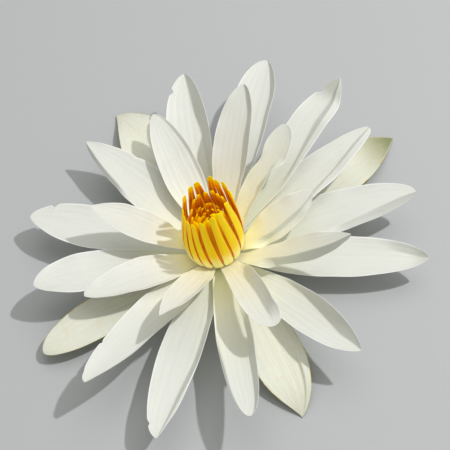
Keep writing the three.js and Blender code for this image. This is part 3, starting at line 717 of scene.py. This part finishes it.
# Heading at the root, heading at the tip, height of the tip and how far the tip leans out. They go round
# clockwise.
OUTER_STAMENS = [
    (-22, -26, 51.5, -1.6), (-43, -69, 53.5, -0.2), (-67, -85, 53.5, 0.5), (-90, -112, 49, 0.2),
    (-109, -136, 45, 0.1), (-128, -153, 44, 0.2), (-152, -168, 44, 0.3), (-179, -183, 45, 0.2),
    (-212, -213, 46.5, 0.5), (-245, -236, 48.5, 0.2), (-269, -252, 49.5, 0.0), (-290, -287, 51.5, 0.3),
    (-309, -301, 50.5, -0.2), (-330, -319, 50.5, 0.3), (-353, -343, 49, 0.2),
]


def strap_line(stamen, level):
    """The radius of a strap's middle line at a level, and how fast it grows with the level. The radius is
    the root's plus the bulge's three terms, plus the lean times the level squared, less the hook times a
    high power of the level, which turns in only the tip."""
    linear, squared, cubed = STAMEN_BULGE
    lean, hook = stamen["lean"], stamen["hook"]
    radius = stamen["root"] + linear * level + squared * level ** 2 + cubed * level ** 3 + lean * level ** 2
    radius = radius - hook * level ** HOOK_POWER
    slope = linear + 2 * squared * level + 3 * cubed * level ** 2 + 2 * lean * level
    slope = slope - HOOK_POWER * hook * level ** (HOOK_POWER - 1)
    return radius, slope


def strap_half_width(stamen, level, across, radius):
    """Half the width of a strap at a level, on either side. Its left and right are the half-widths that fill
    its share of the ring about the roots, for its headings at its root and at its tip. It fills its share
    low down, and comes in from it as the level squared to the half-width of its tip."""
    left, right = [low + (high - low) * level for low, high in (stamen["left"], stamen["right"])]
    fill = np.where(across > 0, left, right) * radius / stamen["root"]
    return np.minimum(fill, fill + (stamen["tip_half"] - fill) * level ** 2)


def strap_rings(stamen):
    """Rings up a stamen's strap, from its root to its tip, and numbers for them.

    A point is its row's point on the middle line, plus its share across times the half-width sideways, plus
    its depth outwards. The outer face is bowed as the root of (1 less the square of the share across), and
    the inner face carries the two anthers as two ridges with the section of a parabola. Both ends are
    rounded as parts of circles.
    """
    level = (0.5 - 0.5 * np.cos(np.pi * np.linspace(0, 1, STAMEN_ROWS)))[:, None]
    rise = stamen["top"] - STAMEN_ROOT_HEIGHT
    radius, slope = strap_line(stamen, level)
    turn = np.radians(stamen["heading"] + (stamen["tip_heading"] - stamen["heading"]) * level)
    radial = np.stack([np.cos(turn), np.sin(turn), 0 * turn], -1)
    sideways = np.stack([-np.sin(turn), np.cos(turn), 0 * turn], -1)
    upright = np.array([0.0, 0.0, 1.0])
    outwards = (rise * radial - slope[..., None] * upright) / np.hypot(slope, rise)[..., None]
    angle = np.linspace(0, 2 * np.pi, STAMEN_SIDES, endpoint=False)[None, :]
    across = np.sin(angle) + 0 * level
    outside = np.cos(angle) >= 0
    base = np.sqrt(np.clip(1 - (1 - np.clip(level / END_LENGTH, 0, 1)) ** 2, BASE_BLUNTNESS, 1))
    end = np.sqrt(np.clip(1 - np.clip((level - 1 + END_LENGTH) / END_LENGTH, 0, 1) ** 2, TIP_BLUNTNESS, 1))
    bow = np.sqrt(np.clip(1 - across ** 2, 0, 1))
    anther = ramp((level - ANTHER_START) / ANTHER_FADE_IN) * ramp((ANTHER_END - level) / ANTHER_FADE_OUT)
    ridge = np.clip(1 - ((np.abs(across) - ANTHER_PLACE) / ANTHER_HALF) ** 2, 0, 1)
    depth = np.where(outside, OUTER_BOW, -(INNER_BOW + ANTHER_HEIGHT * anther * ridge)) * bow
    depth = depth * np.minimum(base, end) * stamen["thick"]
    width = strap_half_width(stamen, level, across, radius) * np.maximum(base, NARROWEST_FOOT) * end
    middle = radius[..., None] * radial + (STAMEN_ROOT_HEIGHT + rise * level)[..., None] * upright
    rings = middle + depth[..., None] * outwards + (width * across)[..., None] * sideways
    marks = {"along": level + 0 * across, "across": across,
             "inside": np.where(outside, 0.0, 1.0) * anther * np.minimum(1, POLLEN_SPREAD * ridge),
             "ochre": stamen["ochre"] * ramp((OCHRE_END - level) / OCHRE_FADE) + 0 * across,
             "number": stamen["heading"] / DEGREES_A_NUMBER + 0 * across}
    return rings, rings[0].mean(axis=0), rings[-1].mean(axis=0), marks


STRAP_YELLOW = (1.0, 0.58, 0.0)
STRAP_LIGHT = (1.0, 0.72, 0.0)
BASE_PALE = (1.0, 0.86, 0.3)
STRAP_OCHRE_SHADE = (0.7, 0.25, 0.0)
GAP_SHADE_RUST = (0.56, 0.12, 0.0)
POLLEN_DARK = (0.68, 0.2, 0.0)
POLLEN_ORANGE = (0.95, 0.4, 0.0)
# Painted shade: the anthers darken low down in the barrel.
POLLEN_DEEP_SHADE = (0.46, 0.11, 0.0)  # low down, where little light gets in
STRAP_SPREAD = (1.0, 0.45, 0.02)
STRAP_SPREAD_REACH = 3 * METRES

stamen_yellow, tree, shader = new_material("stamen yellow", 0.4)
along, inside = mark_socket(tree, "along"), mark_socket(tree, "inside")
broad, fine = add_streaks(tree, 3.0, 2.0)
yellow = mixed_colour(tree, broad, STRAP_YELLOW, STRAP_LIGHT)
yellow = mixed_colour(tree, between(tree, along, 0.34, 0.06), yellow, BASE_PALE)
# Painted shade: ochre below the tips of the second and inner straps stands in for the shade inside the
# barrel.
yellow = mixed_colour(tree, mark_socket(tree, "ochre"), yellow, STRAP_OCHRE_SHADE)
# Painted shade: a rust band along both long edges of each strap, fading out at the tip and the root, stands
# in for the shade in the gaps between the straps.
edge_band = add_group(tree, edge_group, Start=0.8, End=0.96)["Band"]
gap_shade_share = maths(tree, "MULTIPLY", edge_band, between(tree, along, 0.97, 0.6))
gap_shade_share = maths(tree, "MULTIPLY", gap_shade_share, between(tree, along, 0.0, 0.16))
yellow = mixed_colour(tree, gap_shade_share, yellow, GAP_SHADE_RUST)
place = add_node(tree, "TexCoord").outputs["Object"]
grain = add_node(tree, "TexNoise", Vector=place, Scale=2500.0, Detail=1.0)
grains = between(tree, grain.outputs["Fac"], 0.35, 0.65)
pollen = mixed_colour(tree, grains, POLLEN_DARK, POLLEN_ORANGE)
# Painted shade: the pollen turns dark red-brown low down, where the barrel is in shade.
pollen = mixed_colour(tree, between(tree, along, 0.95, 0.65), pollen, POLLEN_DEEP_SHADE)
colour = mixed_colour(tree, inside, yellow, pollen)
tree.links.new(colour, shader.inputs["Base Color"])
# The glow stands in for light that comes through the straps.
tree.links.new(colour, shader.inputs["Emission Color"])
shader.inputs["Emission Strength"].default_value = 0.17
shader.inputs["Specular IOR Level"].default_value = 0.12
shader.inputs["Subsurface Weight"].default_value = 0.6
shader.inputs["Subsurface Radius"].default_value = STRAP_SPREAD
shader.inputs["Subsurface Scale"].default_value = STRAP_SPREAD_REACH
height = maths(tree, "MULTIPLY_ADD", maths(tree, "MULTIPLY", grain.outputs["Fac"], inside), 2.0, fine)
add_bump(tree, shader, height, 0.0001)


def add_stamen(name, stamen, replaced):
    """Builds one stamen and stands it for a solid in the frame."""
    rings, root, tip, marks = strap_rings(stamen)
    piece = closed_mesh(name, rings, root, tip, marks)
    piece.data.materials.append(stamen_yellow)
    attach(piece, "root")
    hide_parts(replaced)


def add_stamen_row(name, kind, rows):
    """Builds one row of stamens. Each one's share of the ring goes half the way to the neighbour on either
    side, less half the gap, at its root and at its tip. The row goes round clockwise, once."""
    headings = np.array([row[:2] for row in rows])
    before = np.concatenate([headings[-1:] + 360, headings[:-1]])
    after = np.concatenate([headings[1:], headings[:1] - 360])
    left = np.radians(before - headings) / 2 * kind["root"] - STAMEN_GAP / 2
    right = np.radians(headings - after) / 2 * kind["root"] - STAMEN_GAP / 2
    for index, (heading, tip_heading, top, lean) in enumerate(rows):
        stamen = dict(kind, heading=heading, tip_heading=tip_heading, top=top, lean=lean,
                      left=left[index], right=right[index])
        add_stamen(f"{name}_stamen_{index + 1}_strap", stamen, f"{name}_stamen_{index + 1}")


add_stamen_row("outer", OUTER_STAMEN, OUTER_STAMENS)

# --- Second stamens -------------------------------------------------------------------------------------
# Fifteen narrower straps of the same tissue, ochre on both faces below their yellow tips: painted shade, as
# they stand inside the barrel. One stands on the pistil behind each gap of the outer row, a little shorter.

SECOND_STAMEN = dict(root=9.2, tip_half=0.9, hook=0.6, ochre=0.8, thick=1.0)
SECOND_LOWER = 4  # than the mean of the outer two
STAMEN_SEED = 7

first_stamen = OUTER_STAMENS[0]
one_turn_on = (first_stamen[0] - 360, first_stamen[1] - 360, *first_stamen[2:])
stamen_chance = np.random.default_rng(STAMEN_SEED)
second_stamens = []
for this, following in zip(OUTER_STAMENS, [*OUTER_STAMENS[1:], one_turn_on]):
    heading, tip_heading, top = [(one + other) / 2 for one, other in zip(this[:3], following[:3])]
    top = top - SECOND_LOWER + stamen_chance.uniform(-1.5, 0.5)
    second_stamens.append((heading, tip_heading, top, stamen_chance.uniform(-0.6, 0.0)))
add_stamen_row("second", SECOND_STAMEN, second_stamens)

# --- Inner stamens --------------------------------------------------------------------------------------
# The many short narrow stamens packed about the stigma, each on its own, with tips curling in towards the
# middle. They get shorter inwards and fill the barrel.

# For each ring from the outside: how many, radius of the roots, height and half-width of the tips, and how
# far those hook in.
INNER_ROWS = [
    dict(count=15, root=6.9, top=39.5, half=1.0, hook=1.2),
    dict(count=13, root=5.4, top=37.5, half=0.95, hook=1.8),
    dict(count=10, root=3.9, top=35.5, half=0.9, hook=1.6),
    dict(count=6, root=2.4, top=34.0, half=0.85, hook=1.0),
]
# Painted shade: how ochre the inner straps are below their tips.
INNER_OCHRE = 0.4
INNER_THICK = 0.7
TIP_SHARE = 0.7  # a tip's width, as a share of the strap's

number = 0
for ring, row in enumerate(INNER_ROWS):
    for place in range(row["count"]):
        number += 1
        half = row["half"]
        heading = 360 * (place + 0.5 * (ring % 2)) / row["count"] + stamen_chance.uniform(-5, 5)
        tip_heading = heading + stamen_chance.uniform(-8, 8)
        top = row["top"] + stamen_chance.uniform(-1.5, 1.5)
        lean = stamen_chance.uniform(-0.2, 0.9)
        stamen = dict(heading=heading, tip_heading=tip_heading, top=top, lean=lean, root=row["root"],
                      left=(half, half), right=(half, half), tip_half=TIP_SHARE * half,
                      hook=row["hook"], ochre=INNER_OCHRE, thick=INNER_THICK)
        add_stamen(f"inner_stamen_{number}_strap", stamen, "inner_stamens")

# --- Floor, lights and camera ---------------------------------------------------------------------------
# A plain pale grey floor, a small lamp from the right, a wide soft one overhead, and the camera 60 degrees
# above the horizon, turned 10 degrees about its own line of sight.

FLOOR_HALF = 3.0
FLOOR_DROP = 0.2 * METRES
FLOOR_GREY = (0.5, 0.51, 0.52)
corners = [(-FLOOR_HALF, -FLOOR_HALF), (FLOOR_HALF, -FLOOR_HALF), (FLOOR_HALF, FLOOR_HALF),
           (-FLOOR_HALF, FLOOR_HALF)]
floor_mesh = bpy.data.meshes.new("floor")
floor_mesh.from_pydata([(x, y, -FLOOR_DROP) for x, y in corners], [], [(0, 1, 2, 3)])
floor = bpy.data.objects.new("floor", floor_mesh)
bpy.context.scene.collection.objects.link(floor)
floor_material, tree, shader = new_material("floor grey", 0.8)
shader.inputs["Base Color"].default_value = (*FLOOR_GREY, 1)
floor.data.materials.append(floor_material)


def add_area_light(name, heading, elevation, distance, size, power):
    """A round lamp that looks at the flower's foot from a heading and an elevation."""
    lamp = bpy.data.lights.new(name, "AREA")
    lamp.shape = "DISK"
    lamp.size = size
    lamp.energy = power
    turn, climb = np.radians(heading), np.radians(elevation)
    away = Vector((np.cos(climb) * np.cos(turn), np.cos(climb) * np.sin(turn), np.sin(climb)))
    light = bpy.data.objects.new(name, lamp)
    light.location = away * distance
    light.rotation_euler = away.to_track_quat("Z", "Y").to_euler()
    bpy.context.scene.collection.objects.link(light)


add_area_light("soft key light", heading=1, elevation=61, distance=1.2, size=0.04, power=7.05)
add_area_light("wide overhead light", heading=60, elevation=72, distance=1.5, size=1.3, power=5.5)
world = bpy.data.worlds.new("studio air")
world.use_nodes = True
world.node_tree.nodes["Background"].inputs["Color"].default_value = (0.98, 1.0, 0.94, 1)
world.node_tree.nodes["Background"].inputs["Strength"].default_value = 0.4
bpy.context.scene.world = world
bpy.context.scene.view_settings.view_transform = "Standard"

VIEW_ELEVATION = np.radians(60)
VIEW_ROLL = np.radians(10)
VIEW_DISTANCE = 0.65
VIEW_AIM = Vector((0.00126, 0.01182, 0.01))
camera_data = bpy.data.cameras.new("camera")
camera_data.lens = 124.8
camera_data.sensor_width = 36
camera_data.clip_start = 0.05
camera_data.clip_end = 20
camera = bpy.data.objects.new("camera", camera_data)
back = Vector((0, -np.cos(VIEW_ELEVATION), np.sin(VIEW_ELEVATION)))
level_up = Vector((0, np.sin(VIEW_ELEVATION), np.cos(VIEW_ELEVATION)))
level_right = Vector((1, 0, 0))
right = level_right * np.cos(VIEW_ROLL) - level_up * np.sin(VIEW_ROLL)
up = level_right * np.sin(VIEW_ROLL) + level_up * np.cos(VIEW_ROLL)
camera.matrix_world = (
    Matrix.Translation(VIEW_AIM + back * VIEW_DISTANCE) @ Matrix((right, up, back)).transposed().to_4x4())
bpy.context.scene.collection.objects.link(camera)
bpy.context.scene.camera = camera
